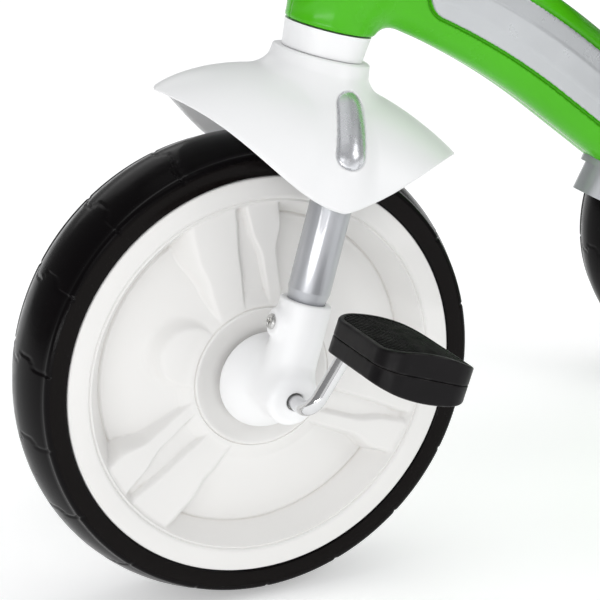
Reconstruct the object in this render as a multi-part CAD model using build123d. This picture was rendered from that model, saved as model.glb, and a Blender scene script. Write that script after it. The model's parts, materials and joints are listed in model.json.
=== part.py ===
from build123d import *
import math
import os

# Children's tricycle. Millimetres, +X forward, +Y to the rider's left, +Z up.
# The origin is on the ground, under the centre of the bounding box.

# --- driving dimensions -------------------------------------------------------
FRONT_R = 127.0                 # ten-inch front wheel
REAR_R = 100.0                  # eight-inch rear wheels
WHEELBASE = 427.0
RAKE = 15.7                     # steering axis, degrees back from vertical
TRACK_HALF = 195.0              # mid-plane of a rear wheel from the centre plane
RUNNING = 0.05                  # radial clearance of a running fit
HALF_SPACE = 900.0              # edge of a cutting box, larger than the object

FRONT_X = (WHEELBASE + REAR_R - FRONT_R) / 2
REAR_X = FRONT_X - WHEELBASE

# Front wheel, as radius and half width.
FRONT_LIP_R = 109.0
FRONT_HALF = 26.5
REAR_LIP_R = 84.0
REAR_HALF = 19.5
WALL = 2.6                      # moulded wheel wall

# Crank, bent from one rod: axle, two arms and two pedal spindles.
AXLE_R = 4.0
ARM_Y = 85.0                    # plane of a crank arm
ARM_LENGTH = 48.5
ARM_BACK = 34.0                 # left arm, degrees back from straight up
ARM_BEND = 10.0
SPINDLE_END = 157.0

# Pedals.
PEDAL_Y = 131.0
PEDAL_LATERAL = 66.0
PEDAL_LENGTH = 54.0
PEDAL_MID = 11.5                # half thickness at the spindle
PEDAL_EDGE = 8.5                # half thickness at the front and back edges
PEDAL_CORNER = 13.0
PEDAL_TILT = 19.0               # front edge up
POCKET_R = 8.5                  # closed space for the cap nut
POCKET_Y = (20.0, 29.5)         # from the pedal's middle
PARTING = 0.05                  # half the gap between two moulded halves

# Fork, measured along the steering axis from the front axle.
LEG_Y = 51.0
LEG_R = 11.1
LEG_SOCKET = 50.0               # top of the fork end
LEG_BEND_S = 118.0
LEG_TOP = (18.0, 150.0)         # across, up
STEERER_R = 12.5
CROWN_R = 19.0
CROWN_S = (134.0, 157.0)
NECK_S = 170.0
COLLAR_S = (170.3, 183.9)
HEAD_S = (184.3, 262.0)
STEERER_TOP = 332.0
STEM_R = 11.0
STEM_S = (258.0, 412.0)
BAR_S = 405.0
BAR_R = 11.0
BAR_HALF = 198.0

# Mudguard, in the fork's frame: forward, across, up the steering axis.
GUARD_WALL = 2.5
GUARD_FRONT = 88.0
GUARD_REAR = 92.0
GUARD_HALF = 66.0
GUARD_HEM = 100.7
GUARD_RIDGE = 160.0
HOOD_R = 15.5                   # raised rib over each fork leg

# Frame beam, a depth and a width along a line from the head to the rear axle.
BEAM_DEPTH = 50.0
BEAM_HALF = 21.0
BEAM_WALL = 3.0
BEAM_CORNER = 15.0
BEAM_LINE = [(139, 348), (48, 302.5), (-150, 142), (-214, 106)]
BEAM_BENDS = [450, 160]
PANEL_OFFSET = -1.0             # centre of the side panel above the beam's line
PANEL_HEIGHT = 31.2
PANEL_REACH = (-114.0, 102.0)   # along X
PANEL_THICK = 3.0
HEAD_SHELL_R = 23.7
HEAD_TUBE_R = 17.0
SPINE_R = 12.0

# Seat post, leaning back through the beam.
POST_FOOT = (-14.0, 191.0)
POST_LEAN = 28.0
POST_R = 13.5
POST_BORE = 12.0
POST_LENGTH = 126.0
SLEEVE_R = 16.5
SLEEVE_U = (16.0, 104.0)
KNOB_U = 94.0

# Rear axle.
AXLE_TUBE_R = 14.0
AXLE_TUBE_HALF = 164.0
REAR_AXLE_R = 5.0
REAR_AXLE_HALF = 223.0


# --- helpers ------------------------------------------------------------------
FORK_PLACE = Pos(FRONT_X, 0, FRONT_R) * Rot(0, -RAKE, 0)
POST_PLACE = Pos(POST_FOOT[0], 0, POST_FOOT[1]) * Rot(0, -POST_LEAN, 0)


def save(name, shape):
    """Write one node."""
    solids = shape.solids()
    body = solids[0] if len(solids) == 1 else Compound(children=list(solids))
    export_step(body, f"parts/{name}.step")


def mirrored(shape):
    """The same piece on the other side of the centre plane."""
    return mirror(shape, about=Plane.XZ)


def post(radius, low, high):
    """A solid cylinder along Z between two heights."""
    return Pos(0, 0, (low + high) / 2) * Cylinder(radius, high - low)


def pipe(outer, inner, low, high):
    """A tube along Z between two heights."""
    return post(outer, low, high) - post(inner, low - 1, high + 1)


def across(radius, low, high):
    """A solid cylinder along Y between two stations."""
    return Pos(0, (low + high) / 2, 0) * Rot(90, 0, 0) * Cylinder(radius, high - low)


def across_pipe(outer, inner, low, high):
    """A tube along Y between two stations."""
    return across(outer, low, high) - across(inner, low - 1, high + 1)


def turned_y(outline):
    """Turn an outline of (radius, station) about the Y axis."""
    return revolve(make_face(outline), axis=Axis.Y)


def turned_z(points):
    """Turn a polygon of (radius, height) about the Z axis."""
    face = Plane.XZ * make_face(Polyline(*points, close=True))
    return revolve(face, axis=Axis.Z)


def rod(path, radius, inner=0):
    """Sweep a round bar or tube along a path of straight runs and arcs."""
    start = Plane(origin=path @ 0, z_dir=path % 0)
    bar = sweep(start * Circle(radius), path=path)
    if inner:
        bar -= sweep(start * Circle(inner), path=path)
    return bar


# --- wheels -------------------------------------------------------------------
def tyre(radius, half, lip_r):
    """A moulded tyre: crowned tread, round shoulders, flat sidewalls, rim channel."""
    seat_r = lip_r - 4.9
    seat_half = half - 4.2
    tread_half = half * 0.83
    tread_edge = radius - 0.22 * (radius - lip_r) - tread_half * 0.09
    wall_top = lip_r + (radius - lip_r) * 0.45
    side = Polyline(
        (seat_r, 0), (seat_r, seat_half), (lip_r + 0.3, seat_half),
        (lip_r + 0.3, half), (wall_top, half))
    knee = ((wall_top + tread_edge) / 2 + 1.2, (half + tread_half) / 2 + 1.0)
    shoulder = ThreePointArc((wall_top, half), knee, (tread_edge, tread_half))
    crown_mid = (radius - (radius - tread_edge) * 0.27, tread_half / 2)
    crown = ThreePointArc((tread_edge, tread_half), crown_mid, (radius, 0))
    base = Line((radius, 0), (seat_r, 0))
    part = turned_y(side + shoulder + crown + base)
    return part + mirrored(part)


def rim_half(lip_r, half, disc_r, disc_y, hub_r, core_r):
    """Left half of a hollow moulded wheel: channel, stepped face, dished disc, hub."""
    hub_y = half - 4.5
    ring_y = half - 0.9
    step_r = lip_r - 12.4
    slope = math.atan2(half - disc_y, step_r - disc_r)
    back_r = WALL * math.sin(slope)
    channel_r = lip_r - 5.0
    outline = Polyline(
        (core_r, hub_y), (hub_r - 7, hub_y), (hub_r - 0.8, ring_y), (hub_r + 1.6, ring_y),
        (hub_r + 2.4, hub_y + 0.6), (disc_r, disc_y), (step_r, half), (lip_r, half),
        (lip_r, half - 4.0), (channel_r, half - 4.0), (channel_r, 0),
        (channel_r - WALL, 0), (channel_r - WALL, half - WALL),
        (step_r + back_r - 0.6, half - WALL), (disc_r + back_r, disc_y - WALL),
        (core_r + 4, hub_y - WALL), (core_r + 4, 0), (core_r, 0), close=True)
    return turned_y(outline)


def spoke(inner, outer, narrow, wide, low, high):
    """One double-ribbed wavy spoke standing on the disc, pointing up."""
    span = outer - inner
    ribs = None
    for side in (1, -1):
        near = Spline(
            (side * narrow * 0.22, inner), (side * narrow * 0.30, inner + span * 0.35),
            (side * narrow * 0.18, inner + span * 0.6), (side * wide * 0.36, outer))
        far = Spline(
            (side * wide, outer), (side * narrow * 0.86, inner + span * 0.62),
            (side * narrow * 1.12, inner + span * 0.3), (side * narrow * 0.9, inner))
        ends = Line(near @ 1, far @ 0) + Line(far @ 1, near @ 0)
        face = make_face(near + far + ends)
        rib = extrude(face, amount=high - low, dir=(0, 0, 1))
        ribs = rib if ribs is None else ribs + rib
    # The sketch plane's Z becomes the wheel's +Y and its Y becomes +Z.
    return Pos(0, low, 0) * Rot(-90, 0, 0) * Rot(0, 0, 180) * ribs


def front_rim_half():
    """Left half of the front wheel, with three spokes and one round boss."""
    half = rim_half(FRONT_LIP_R, FRONT_HALF, 86.0, 10.5, 37.0, 13.0)
    for angle in (8.6, 128.6, -111.4):
        arm = spoke(38.5, 92.0, 15.0, 24.0, 10.0, FRONT_HALF - 3.5)
        half += Rot(0, angle, 0) * arm
    ball_r = 22.0
    boss = Pos(0, 25.0 - ball_r, 54.0) * Sphere(ball_r)
    boss &= Pos(0, 18.5, 54.0) * Box(60, 13.0, 60)
    half += Rot(0, 68, 0) * boss
    return half - across(13.0, -1, FRONT_HALF + 4)


def rear_rim_half():
    """Outer half of a rear wheel, in the same style."""
    half = rim_half(REAR_LIP_R, REAR_HALF, 62.0, 8.0, 25.0, 11.0)
    for turn in range(3):
        arm = spoke(26.5, 67.0, 11.0, 17.0, 7.6, REAR_HALF - 3.0)
        half += Rot(0, 120 * turn + 20, 0) * arm
    return half - across(11.0, -1, REAR_HALF + 4)


def front_wheel():
    """Tyre, rim halves, hub core, and the crank rod that drives them."""
    place = Pos(FRONT_X, 0, FRONT_R)
    left = front_rim_half()
    right = Rot(0, 0, 180) * front_rim_half()
    core = across_pipe(12.95, AXLE_R, -26.2, 26.2)
    save("front_tyre", place * tyre(FRONT_R, FRONT_HALF, FRONT_LIP_R))
    save("front_rim_left", place * left)
    save("front_rim_right", place * right)
    save("front_hub_core", place * core)
    save("crank_rod", place * crank())
    save("spindle_nuts", place * spindle_nuts())


def arm_end():
    """Where the left crank arm carries its pedal, from the axle."""
    back = math.radians(ARM_BACK)
    return (-ARM_LENGTH * math.sin(back), ARM_LENGTH * math.cos(back))


def crank():
    """The bent rod, end to end."""
    x, z = arm_end()
    path = FilletPolyline(
        (x, SPINDLE_END, z), (x, ARM_Y, z), (0, ARM_Y, 0), (0, -ARM_Y, 0),
        (-x, -ARM_Y, -z), (-x, -SPINDLE_END, -z), radius=ARM_BEND)
    return rod(path, AXLE_R)


def spindle_nuts():
    """A push-on cap nut on each spindle end, in the pedal's outer pocket."""
    x, z = arm_end()
    nut = across_pipe(6.5, AXLE_R, SPINDLE_END - 3.0, SPINDLE_END - 0.5)
    left = Pos(x, 0, z) * nut
    right = Pos(-x, 0, -z) * mirrored(nut)
    return left + right


def pedal_block():
    """A whole pedal about its spindle: crowned on both treads, round corners."""
    length = PEDAL_LENGTH / 2
    side = (
        Line((-length, -PEDAL_EDGE), (-length, PEDAL_EDGE))
        + ThreePointArc((-length, PEDAL_EDGE), (0, PEDAL_MID), (length, PEDAL_EDGE))
        + Line((length, PEDAL_EDGE), (length, -PEDAL_EDGE))
        + ThreePointArc((length, -PEDAL_EDGE), (0, -PEDAL_MID), (-length, -PEDAL_EDGE)))
    block = extrude(Plane.XZ * make_face(side), amount=PEDAL_LATERAL / 2, both=True)
    outline = RectangleRounded(PEDAL_LENGTH, PEDAL_LATERAL, PEDAL_CORNER)
    block &= extrude(outline, amount=PEDAL_MID + 1, both=True)
    block -= across(POCKET_R, POCKET_Y[0], POCKET_Y[1])
    return block - across(AXLE_R + RUNNING, -PEDAL_LATERAL, POCKET_Y[0] + 1)


def pedals():
    """Two moulded halves close on each spindle."""
    x, z = arm_end()
    cut = PEDAL_LENGTH * 2
    for name, side, px, pz in (("left", 1, x, z), ("right", -1, -x, -z)):
        block = pedal_block()
        if side < 0:
            block = mirrored(block)
        place = Pos(FRONT_X + px, side * PEDAL_Y, FRONT_R + pz) * Rot(0, -PEDAL_TILT, 0)
        upper = block & Pos(0, 0, cut / 2 + PARTING) * Box(cut, cut, cut)
        lower = block & Pos(0, 0, -cut / 2 - PARTING) * Box(cut, cut, cut)
        save(f"pedal_upper_{name}", place * upper)
        save(f"pedal_lower_{name}", place * lower)


# --- fork ---------------------------------------------------------------------
def leg_path(radius=26.0):
    """Centre line of the left leg and where it bends in to the crown."""
    return FilletPolyline(
        (0, LEG_Y, 56.0), (0, LEG_Y, LEG_BEND_S), (0, LEG_TOP[0], LEG_TOP[1]), radius=radius)


def fork_leg():
    """A bent tube with a narrower end that plugs into the fork end."""
    upper = rod(leg_path(), LEG_R, LEG_R - 1.4)
    upper -= post(CROWN_R, 100, 200)
    plug = Pos(0, LEG_Y, 0) * turned_z(
        [(8.2, 20), (9.8, 20), (9.8, 50), (LEG_R, 56), (LEG_R - 1.4, 56), (8.2, 50)])
    return upper + plug


def fork_end():
    """Moulded left fork end: leg socket, axle nose, wide dome and screw boss."""
    nose = across(14.0, 30.0, 66.0)
    dome = turned_y(
        Polyline((0, 50), (0, 28.5), (26, 28.5), (26, 31))
        + ThreePointArc((26, 31), (21.5, 38.5), (13.0, 46.0)) + Polyline((13.0, 46.0), (0, 50)))
    column = Pos(0, LEG_Y, 0) * post(13.6, 0, LEG_SOCKET)
    boss = Pos(10.5, LEG_Y, 36.5) * Rot(0, 90, 0) * Cylinder(6.7, 11.0)
    end = nose + dome + column + boss
    end -= Pos(0, LEG_Y, 0) * post(9.8, 20.0, 60.0)
    end -= across(8.0, 20.0, 80.0)
    end -= Pos(10.5, LEG_Y, 36.5) * Rot(0, 90, 0) * Cylinder(1.9, 14.0)
    return end


def fork_screw():
    """Pan-head screw that locks the leg in its socket from the front."""
    shank = Pos(13.2, 0, 0) * Rot(0, 90, 0) * Cylinder(1.85, 5.6)
    base = (Align.CENTER, Align.CENTER, Align.MIN)
    head = Pos(16.0, 0, 0) * Rot(0, 90, 0) * Cone(4.1, 2.6, 2.2, align=base)
    cross = Pos(18.2, 0, 0) * (Box(1.8, 4.2, 0.9) + Box(1.8, 0.9, 4.2))
    return Pos(0, LEG_Y, 36.5) * (shank + head - cross)


def axle_bush():
    """Flanged bush that the axle turns in."""
    bush = across(8.0, 28.4, 64.0) + across(11.0, 26.6, 28.4)
    return bush - across(AXLE_R + RUNNING, 20.0, 80.0)


def handlebar_path():
    """Flat in the clamp, then up, out and back to the grips."""
    right = [(0, -34, BAR_S), (-8, -84, BAR_S + 34), (-44, -BAR_HALF, BAR_S + 40)]
    left = [(x, -y, z) for x, y, z in right]
    return FilletPolyline(*(right[::-1] + left), radius=30.0)


def grip(side):
    """Rubber sleeve with a round guard at each end, closed outside."""
    path = handlebar_path()
    end = path @ 1
    direction = path % 1
    plane = Plane(origin=(end.X, end.Y, end.Z), z_dir=(-direction.X, -direction.Y, -direction.Z))
    sleeve = turned_z(
        [(0, -4.0), (17.5, -4.0), (19.0, -1.0), (17.0, 4.0), (15.0, 9.0), (15.0, 88.0),
         (20.0, 93.0), (20.0, 98.0), (BAR_R + 0.1, 98.0), (BAR_R + 0.1, 0.1), (0, 0.1)])
    piece = plane.location * sleeve
    return piece if side > 0 else mirrored(piece)


def bar_clamp():
    """Lower clamp on the stem and the cap over the bar."""
    body = post(19.0, 372.0, BAR_S) + Pos(0, 0, BAR_S - 8) * Box(40, 44, 16)
    cap = Pos(0, 0, BAR_S + 8) * Box(40, 44, 16)
    cap = fillet(cap.edges().filter_by(Axis.Y).group_by(Axis.Z)[-1], 7)
    bar = Pos(0, 0, BAR_S) * across(BAR_R, -60, 60)
    body -= bar
    cap -= bar
    cap &= Pos(0, 0, BAR_S + 50.15) * Box(100, 100, 100)
    body -= post(STEM_R, 360.0, STEM_S[1])
    for x in (-15.5, 15.5):
        for y in (-15, 15):
            hole = Pos(x, y, BAR_S) * Cylinder(2.0, 40)
            body -= hole
            cap -= hole
    return body, cap


def clamp_bolts():
    """Four socket-head bolts through the clamp cap."""
    group = None
    for x in (-15.5, 15.5):
        for y in (-15, 15):
            bolt = Pos(x, y, BAR_S - 3) * Cylinder(1.95, 26)
            bolt += Pos(x, y, BAR_S + 17.6) * Cylinder(3.2, 3.0)
            group = bolt if group is None else group + bolt
    return group


def fork():
    """Everything that steers and isn't the wheel."""
    leg = fork_leg()
    end = fork_end()
    crown = pipe(CROWN_R, STEERER_R, CROWN_S[0], CROWN_S[1])
    steerer = pipe(STEERER_R, STEM_R, CROWN_S[0], STEERER_TOP)
    collar = turned_z(
        [(STEERER_R + 0.02, COLLAR_S[0]), (21.7, COLLAR_S[0]), (23.2, COLLAR_S[1]),
         (STEERER_R + 0.02, COLLAR_S[1])])
    nut = post(17.0, HEAD_S[1] + 0.6, HEAD_S[1] + 12.0) - post(STEERER_R + 0.02, 200, 300)
    stem_ring = post(16.5, STEERER_TOP - 20, STEERER_TOP + 6)
    stem_ring -= post(STEERER_R + 0.02, 300, STEERER_TOP)
    stem_ring -= post(STEM_R + 0.02, 300, STEERER_TOP + 10)
    ring_bolt = Pos(0, 0, STEERER_TOP - 8) * (
        Rot(0, 90, 0) * Cylinder(2.5, 39) + Pos(-20.5, 0, 0) * Rot(0, 90, 0) * Cylinder(5, 4)
        + Pos(20, 0, 0) * Rot(0, 90, 0) * Cylinder(5, 3))
    bolt_hole = Pos(0, 0, STEERER_TOP - 8) * Rot(0, 90, 0) * Cylinder(2.6, 80)
    stem = pipe(STEM_R, STEM_R - 1.5, STEM_S[0], STEM_S[1] - 19)
    clamp, cap = bar_clamp()
    bar = rod(handlebar_path(), BAR_R, BAR_R - 1.5)
    pieces = {
        "fork_leg_left": leg, "fork_leg_right": mirrored(leg),
        "fork_end_left": end, "fork_end_right": mirrored(end),
        "axle_bushes": axle_bush() + mirrored(axle_bush()),
        "fork_screws": fork_screw() + mirrored(fork_screw()),
        "fork_crown": crown, "steerer_tube": steerer - bolt_hole, "fork_collar": collar,
        "head_nut": nut, "stem_ring": stem_ring - bolt_hole, "stem_bolt": ring_bolt,
        "handlebar_stem": stem - bolt_hole, "handlebar_clamp": clamp, "handlebar_cap": cap,
        "clamp_bolts": clamp_bolts(), "handlebar": bar,
        "grip_left": grip(1), "grip_right": grip(-1)}
    for name, piece in pieces.items():
        save(name, FORK_PLACE * piece)


# --- mudguard -----------------------------------------------------------------
def guard_section(station):
    """Ridge height, hem height and hem half width at a station forward of the fork."""
    reach = GUARD_FRONT if station >= 0 else GUARD_REAR
    share = min(abs(station) / reach, 1.0)
    drop, power, tip = (24.5, 2.6, 135.0) if station >= 0 else (30.0, 1.9, 128.5)
    ridge = GUARD_RIDGE - drop * share ** power
    hem = GUARD_HEM + (tip - GUARD_HEM) * (3 * share ** 2 - 2 * share ** 3)
    half = GUARD_HALF * (1 - share ** 2.2) ** 0.75
    return ridge, hem, half


def guard_loft(shrink, drop):
    """The saddle-shaped skin as a solid, shrunk by a wall where asked."""
    faces = []
    for station in (-89.0 + shrink, -72.0, -45.0, -20.0, 0.0, 20.0, 45.0, 70.0, 85.0 - shrink):
        ridge, hem, half = guard_section(station)
        ridge -= shrink
        half -= shrink
        base = min(hem, ridge - 2.0) - drop
        plane = Plane(origin=(station, 0, 0), x_dir=(0, 1, 0), z_dir=(1, 0, 0))
        arch = Line((half, base), (-half, base))
        arch += ThreePointArc((-half, base), (0, ridge), (half, base))
        faces.append(plane * make_face(arch))
    return loft(faces)


def hood(radius, low=GUARD_HEM + 0.6):
    """The rib over the left leg as a solid, from the neck down to the hem."""
    path = FilletPolyline(
        (0, LEG_Y, low), (0, LEG_Y, LEG_BEND_S), (0, 14.0, 153.9), radius=26.0)
    return rod(path, radius)


def mudguard():
    """Thin white shell on the fork, with a neck and a hood over each leg, in place."""
    neck = turned_z([(0, 140), (31.5, 152), (29.5, 157), (27.0, 163), (26.0, NECK_S), (0, NECK_S)])
    hollow_neck = turned_z([(0, 130), (29.0, 150), (27.0, 156), (24.5, 162), (23.5, 166), (0, 166)])
    cover = hood(HOOD_R)
    bore = hood(HOOD_R - GUARD_WALL, GUARD_HEM - 8)
    shell = FORK_PLACE * guard_loft(0, 0)
    for piece in (neck, cover, mirrored(cover)):
        shell += FORK_PLACE * piece
    steerer_hole = post(STEERER_R + 0.5, 150, 190)
    for piece in (guard_loft(GUARD_WALL, 4.0), hollow_neck, bore, mirrored(bore), steerer_hole):
        shell -= FORK_PLACE * piece
    return shell


def guard_inlay():
    """Silver oval that follows the hood over the left leg."""
    skin = hood(HOOD_R + 1.5) - hood(HOOD_R + 0.05)
    oval = Plane(origin=(0, 41.8, 136.1), z_dir=(0, 0.835, 0.55), x_dir=(1, 0, 0))
    window = extrude(oval * SlotOverall(46.0, 15.0, rotation=90), amount=80)
    return skin & window


# --- frame --------------------------------------------------------------------
def beam_path():
    """Line of the beam, from the head down to the rear axle."""
    points = [(x, 0, z) for x, z in BEAM_LINE]
    return FilletPolyline(*points, radius=BEAM_BENDS)


def beam_solid(depth, half, corner):
    """A rounded bar along the beam's line."""
    path = beam_path()
    plane = Plane(origin=path @ 0, x_dir=(0, 1, 0), z_dir=path % 0)
    return sweep(plane * RectangleRounded(2 * half, depth, corner), path=path)


def frame_shell():
    """Both green shells as one: head and beam, hollow."""
    head = FORK_PLACE * post(HEAD_SHELL_R, HEAD_S[0], HEAD_S[1])
    beam = beam_solid(BEAM_DEPTH, BEAM_HALF, BEAM_CORNER)
    tail = Pos(REAR_X, 0, REAR_R) * across(25.0, -BEAM_HALF - 14, BEAM_HALF + 14)
    outer = head + (beam - FORK_PLACE * post(40.0, 100, HEAD_S[0])) + tail
    inner = FORK_PLACE * post(HEAD_SHELL_R - BEAM_WALL, HEAD_S[0] + 5, HEAD_S[1] - 5)
    inner += beam_solid(BEAM_DEPTH - 2 * BEAM_WALL, BEAM_HALF - BEAM_WALL, BEAM_CORNER - BEAM_WALL)
    inner += Pos(REAR_X, 0, REAR_R) * across(22.0, -BEAM_HALF - 11, BEAM_HALF + 11)
    shell = outer - inner
    shell -= FORK_PLACE * post(HEAD_TUBE_R + 0.1, 150, 300)
    shell -= FORK_PLACE * (post(20.1, 150, HEAD_S[0] + 2) + post(20.1, HEAD_S[1] - 2, 300))
    shell -= POST_PLACE * post(SLEEVE_R + 0.1, -40, 120)
    shell -= Pos(REAR_X, 0, REAR_R) * across(AXLE_TUBE_R + 0.1, -60, 60)
    return shell


def side_panel():
    """Silver panel on the left of the beam."""
    path = beam_path()
    plane = Plane(origin=path @ 0, x_dir=(0, 1, 0), z_dir=path % 0)
    up = plane.y_dir.Z
    offset = PANEL_OFFSET if up > 0 else -PANEL_OFFSET
    middle = BEAM_HALF + 0.1 + PANEL_THICK / 2
    strip = sweep(plane * (Pos(middle, offset) * Rectangle(PANEL_THICK, PANEL_HEIGHT)), path=path)
    low, high = PANEL_REACH
    reach = Pos((low + high) / 2, 0, 0) * Box(high - low, HALF_SPACE, HALF_SPACE)
    return strip & reach


def frame():
    """The rigid frame, its shells and its rear axle."""
    shell = frame_shell()
    left = shell & Pos(0, HALF_SPACE / 2 + PARTING, 0) * Box(HALF_SPACE, HALF_SPACE, HALF_SPACE)
    right = mirrored(left)
    head_tube = FORK_PLACE * pipe(HEAD_TUBE_R, HEAD_TUBE_R - 2, HEAD_S[0] + 2, HEAD_S[1] - 2)
    bush = pipe(HEAD_TUBE_R - 2, STEERER_R + RUNNING, 0, 14) + pipe(
        20.0, STEERER_R + RUNNING, 0, 1.9)
    bushes = Pos(0, 0, HEAD_S[0] + 0.05) * bush + Pos(0, 0, HEAD_S[1] - 0.05) * Rot(180, 0, 0) * bush
    spine = rod(beam_path(), SPINE_R, SPINE_R - 1.8)
    spine -= FORK_PLACE * post(HEAD_TUBE_R, 100, 400)
    spine -= POST_PLACE * post(SLEEVE_R, -60, 160)
    spine -= Pos(REAR_X, 0, REAR_R) * across(AXLE_TUBE_R, -60, 60)
    parts = sorted(spine.solids(), key=lambda s: -s.center().X)
    sleeve = POST_PLACE * sleeve_shape()
    axle_place = Pos(REAR_X, 0, REAR_R)
    tube = axle_place * across_pipe(AXLE_TUBE_R, AXLE_TUBE_R - 1.8, -AXLE_TUBE_HALF, AXLE_TUBE_HALF)
    plug = across_pipe(AXLE_TUBE_R - 1.85, REAR_AXLE_R, 140.0, 164.0) + across_pipe(
        AXLE_TUBE_R + 3, REAR_AXLE_R, 164.1, 173.6)
    washer = across_pipe(8.5, REAR_AXLE_R, 215.0, 216.4)
    nut = across(7.5, 216.5, 222.5) - across(REAR_AXLE_R, 200, 230)
    save("frame_shell_left", left)
    save("frame_shell_right", right)
    save("side_panel_left", side_panel())
    save("side_panel_right", mirrored(side_panel()))
    save("head_tube", head_tube)
    save("head_bushes", FORK_PLACE * bushes)
    save("spine_tube_front", parts[0])
    save("spine_tube_rear", parts[-1])
    save("seat_sleeve", sleeve)
    save("rear_axle_tube", tube)
    save("rear_axle", axle_place * across(REAR_AXLE_R, -REAR_AXLE_HALF, REAR_AXLE_HALF))
    save("axle_plugs", axle_place * (plug + mirrored(plug)))
    save("axle_washers", axle_place * (washer + mirrored(washer)))
    save("axle_nuts", axle_place * (nut + mirrored(nut)))


# --- seat ---------------------------------------------------------------------
def sleeve_shape():
    """Sleeve through the beam, with a threaded boss for the knob behind it."""
    sleeve = post(SLEEVE_R, SLEEVE_U[0], SLEEVE_U[1])
    sleeve += Pos(-20.0, 0, KNOB_U) * Rot(0, 90, 0) * Cylinder(8.0, 14.0)
    sleeve -= post(POST_R + 0.08, 0, 120)
    return sleeve - Pos(-20, 0, KNOB_U) * Rot(0, 90, 0) * Cylinder(4.05, 30.0)


def seat_knob():
    """Five-lobed knob on a threaded stud that presses on the post."""
    stud = Pos(-23.9, 0, KNOB_U) * Rot(0, 90, 0) * Cylinder(4.0, 20.0)
    head = Pos(-34.0, 0, KNOB_U) * Rot(0, 90, 0) * Cylinder(11.0, 13.0)
    for turn in range(5):
        angle = math.radians(72 * turn)
        lobe = Pos(-34.0, 9.5 * math.sin(angle), KNOB_U + 9.5 * math.cos(angle))
        head += lobe * Rot(0, 90, 0) * Cylinder(4.5, 13.0)
    return stud + head


def seat_pan():
    """Moulded seat: shallow pan and a wrap-round back."""
    pan = extrude(RectangleRounded(190, 200, 70), amount=16)
    pan = fillet(pan.faces().sort_by(Axis.Z)[-1].edges(), 7)
    pocket = extrude(RectangleRounded(180, 190, 65), amount=11) - Pos(22, 0, 5) * Box(110, 96, 12)
    pan -= pocket
    back = post(100.0, 10, 105) - post(88.0, 16, 120)
    back &= Pos(-75, 0, 60) * Box(82, 220, 120)
    back = Pos(5, 0, 0) * back
    return pan + back


def seat():
    """Post, bracket plate, screws and moulded seat."""
    tube = pipe(POST_R, POST_BORE, 0, POST_LENGTH)
    lean = math.radians(POST_LEAN)
    top = (POST_FOOT[0] - POST_LENGTH * math.sin(lean), POST_FOOT[1] + POST_LENGTH * math.cos(lean))
    plate_z = top[1] + POST_R * math.sin(lean) + 0.6
    place = Pos(top[0] - 8, 0, plate_z)
    plate = Pos(0, 0, 1.5) * Box(96, 84, 3)
    plate = fillet(plate.edges().filter_by(Axis.Z), 10)
    cup = POST_PLACE * pipe(POST_R + 3, POST_R + 0.02, SLEEVE_U[1] + 1.5, POST_LENGTH + 20)
    cup &= Pos(0, 0, plate_z - 200) * Box(900, 900, 400)
    screw_hole = Cylinder(2.5, 30)
    screws = None
    for x in (-36, 36):
        for y in (-30, 30):
            plate -= Pos(x, y, 0) * screw_hole
            screw = Pos(x, y, 4.0) * Cylinder(2.45, 12) + Pos(x, y, -3.3) * Cylinder(5, 3)
            screws = screw if screws is None else screws + screw
    pan = Pos(-22, 0, 3.1) * seat_pan()
    for x in (-36, 36):
        for y in (-30, 30):
            pan -= Pos(x, y, 3.0) * Cylinder(2.5, 15)
    save("seat_post", POST_PLACE * tube)
    save("seat_bracket", place * plate + cup)
    save("seat_screws", place * screws)
    save("seat_pan", place * pan)
    save("seat_knob", POST_PLACE * seat_knob())


# --- rear wheels --------------------------------------------------------------
def rear_wheel(name, side):
    """Tyre, rim halves, bushes and cap of one rear wheel."""
    outer = rear_rim_half()
    inner = Rot(0, 0, 180) * rear_rim_half()
    bush = across_pipe(10.95, REAR_AXLE_R + RUNNING, 6.0, 19.7)
    cap = turned_y(
        Polyline((11.5, 15.2), (17.5, 15.2), (17.5, 22.0))
        + ThreePointArc((17.5, 22.0), (14.8, 28.4), (8.0, 31.0))
        + Polyline((8.0, 31.0), (0, 31.0), (0, 29.0), (8.0, 29.0), (11.5, 26.0), (11.5, 15.2)))
    centre = Pos(REAR_X, TRACK_HALF, REAR_R)
    pieces = {
        "rear_tyre": tyre(REAR_R, REAR_HALF, REAR_LIP_R), "rear_rim_outer": outer,
        "rear_rim_inner": inner, "rear_bushes": bush + mirrored(bush), "rear_cap": cap}
    for piece_name, piece in pieces.items():
        placed = centre * piece
        save(f"{piece_name}_{name}", placed if side > 0 else mirrored(placed))


def main():
    """Write every node."""
    os.makedirs("parts", exist_ok=True)
    front_wheel()
    pedals()
    fork()
    save("mudguard", mudguard())
    inlay = guard_inlay()
    save("mudguard_inlays", FORK_PLACE * (inlay + mirrored(inlay)))
    frame()
    seat()
    rear_wheel("left", 1)
    rear_wheel("right", -1)


main()
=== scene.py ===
import json
import math

import bpy
import numpy as np
from mathutils import Matrix, Quaternion, Vector

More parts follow.
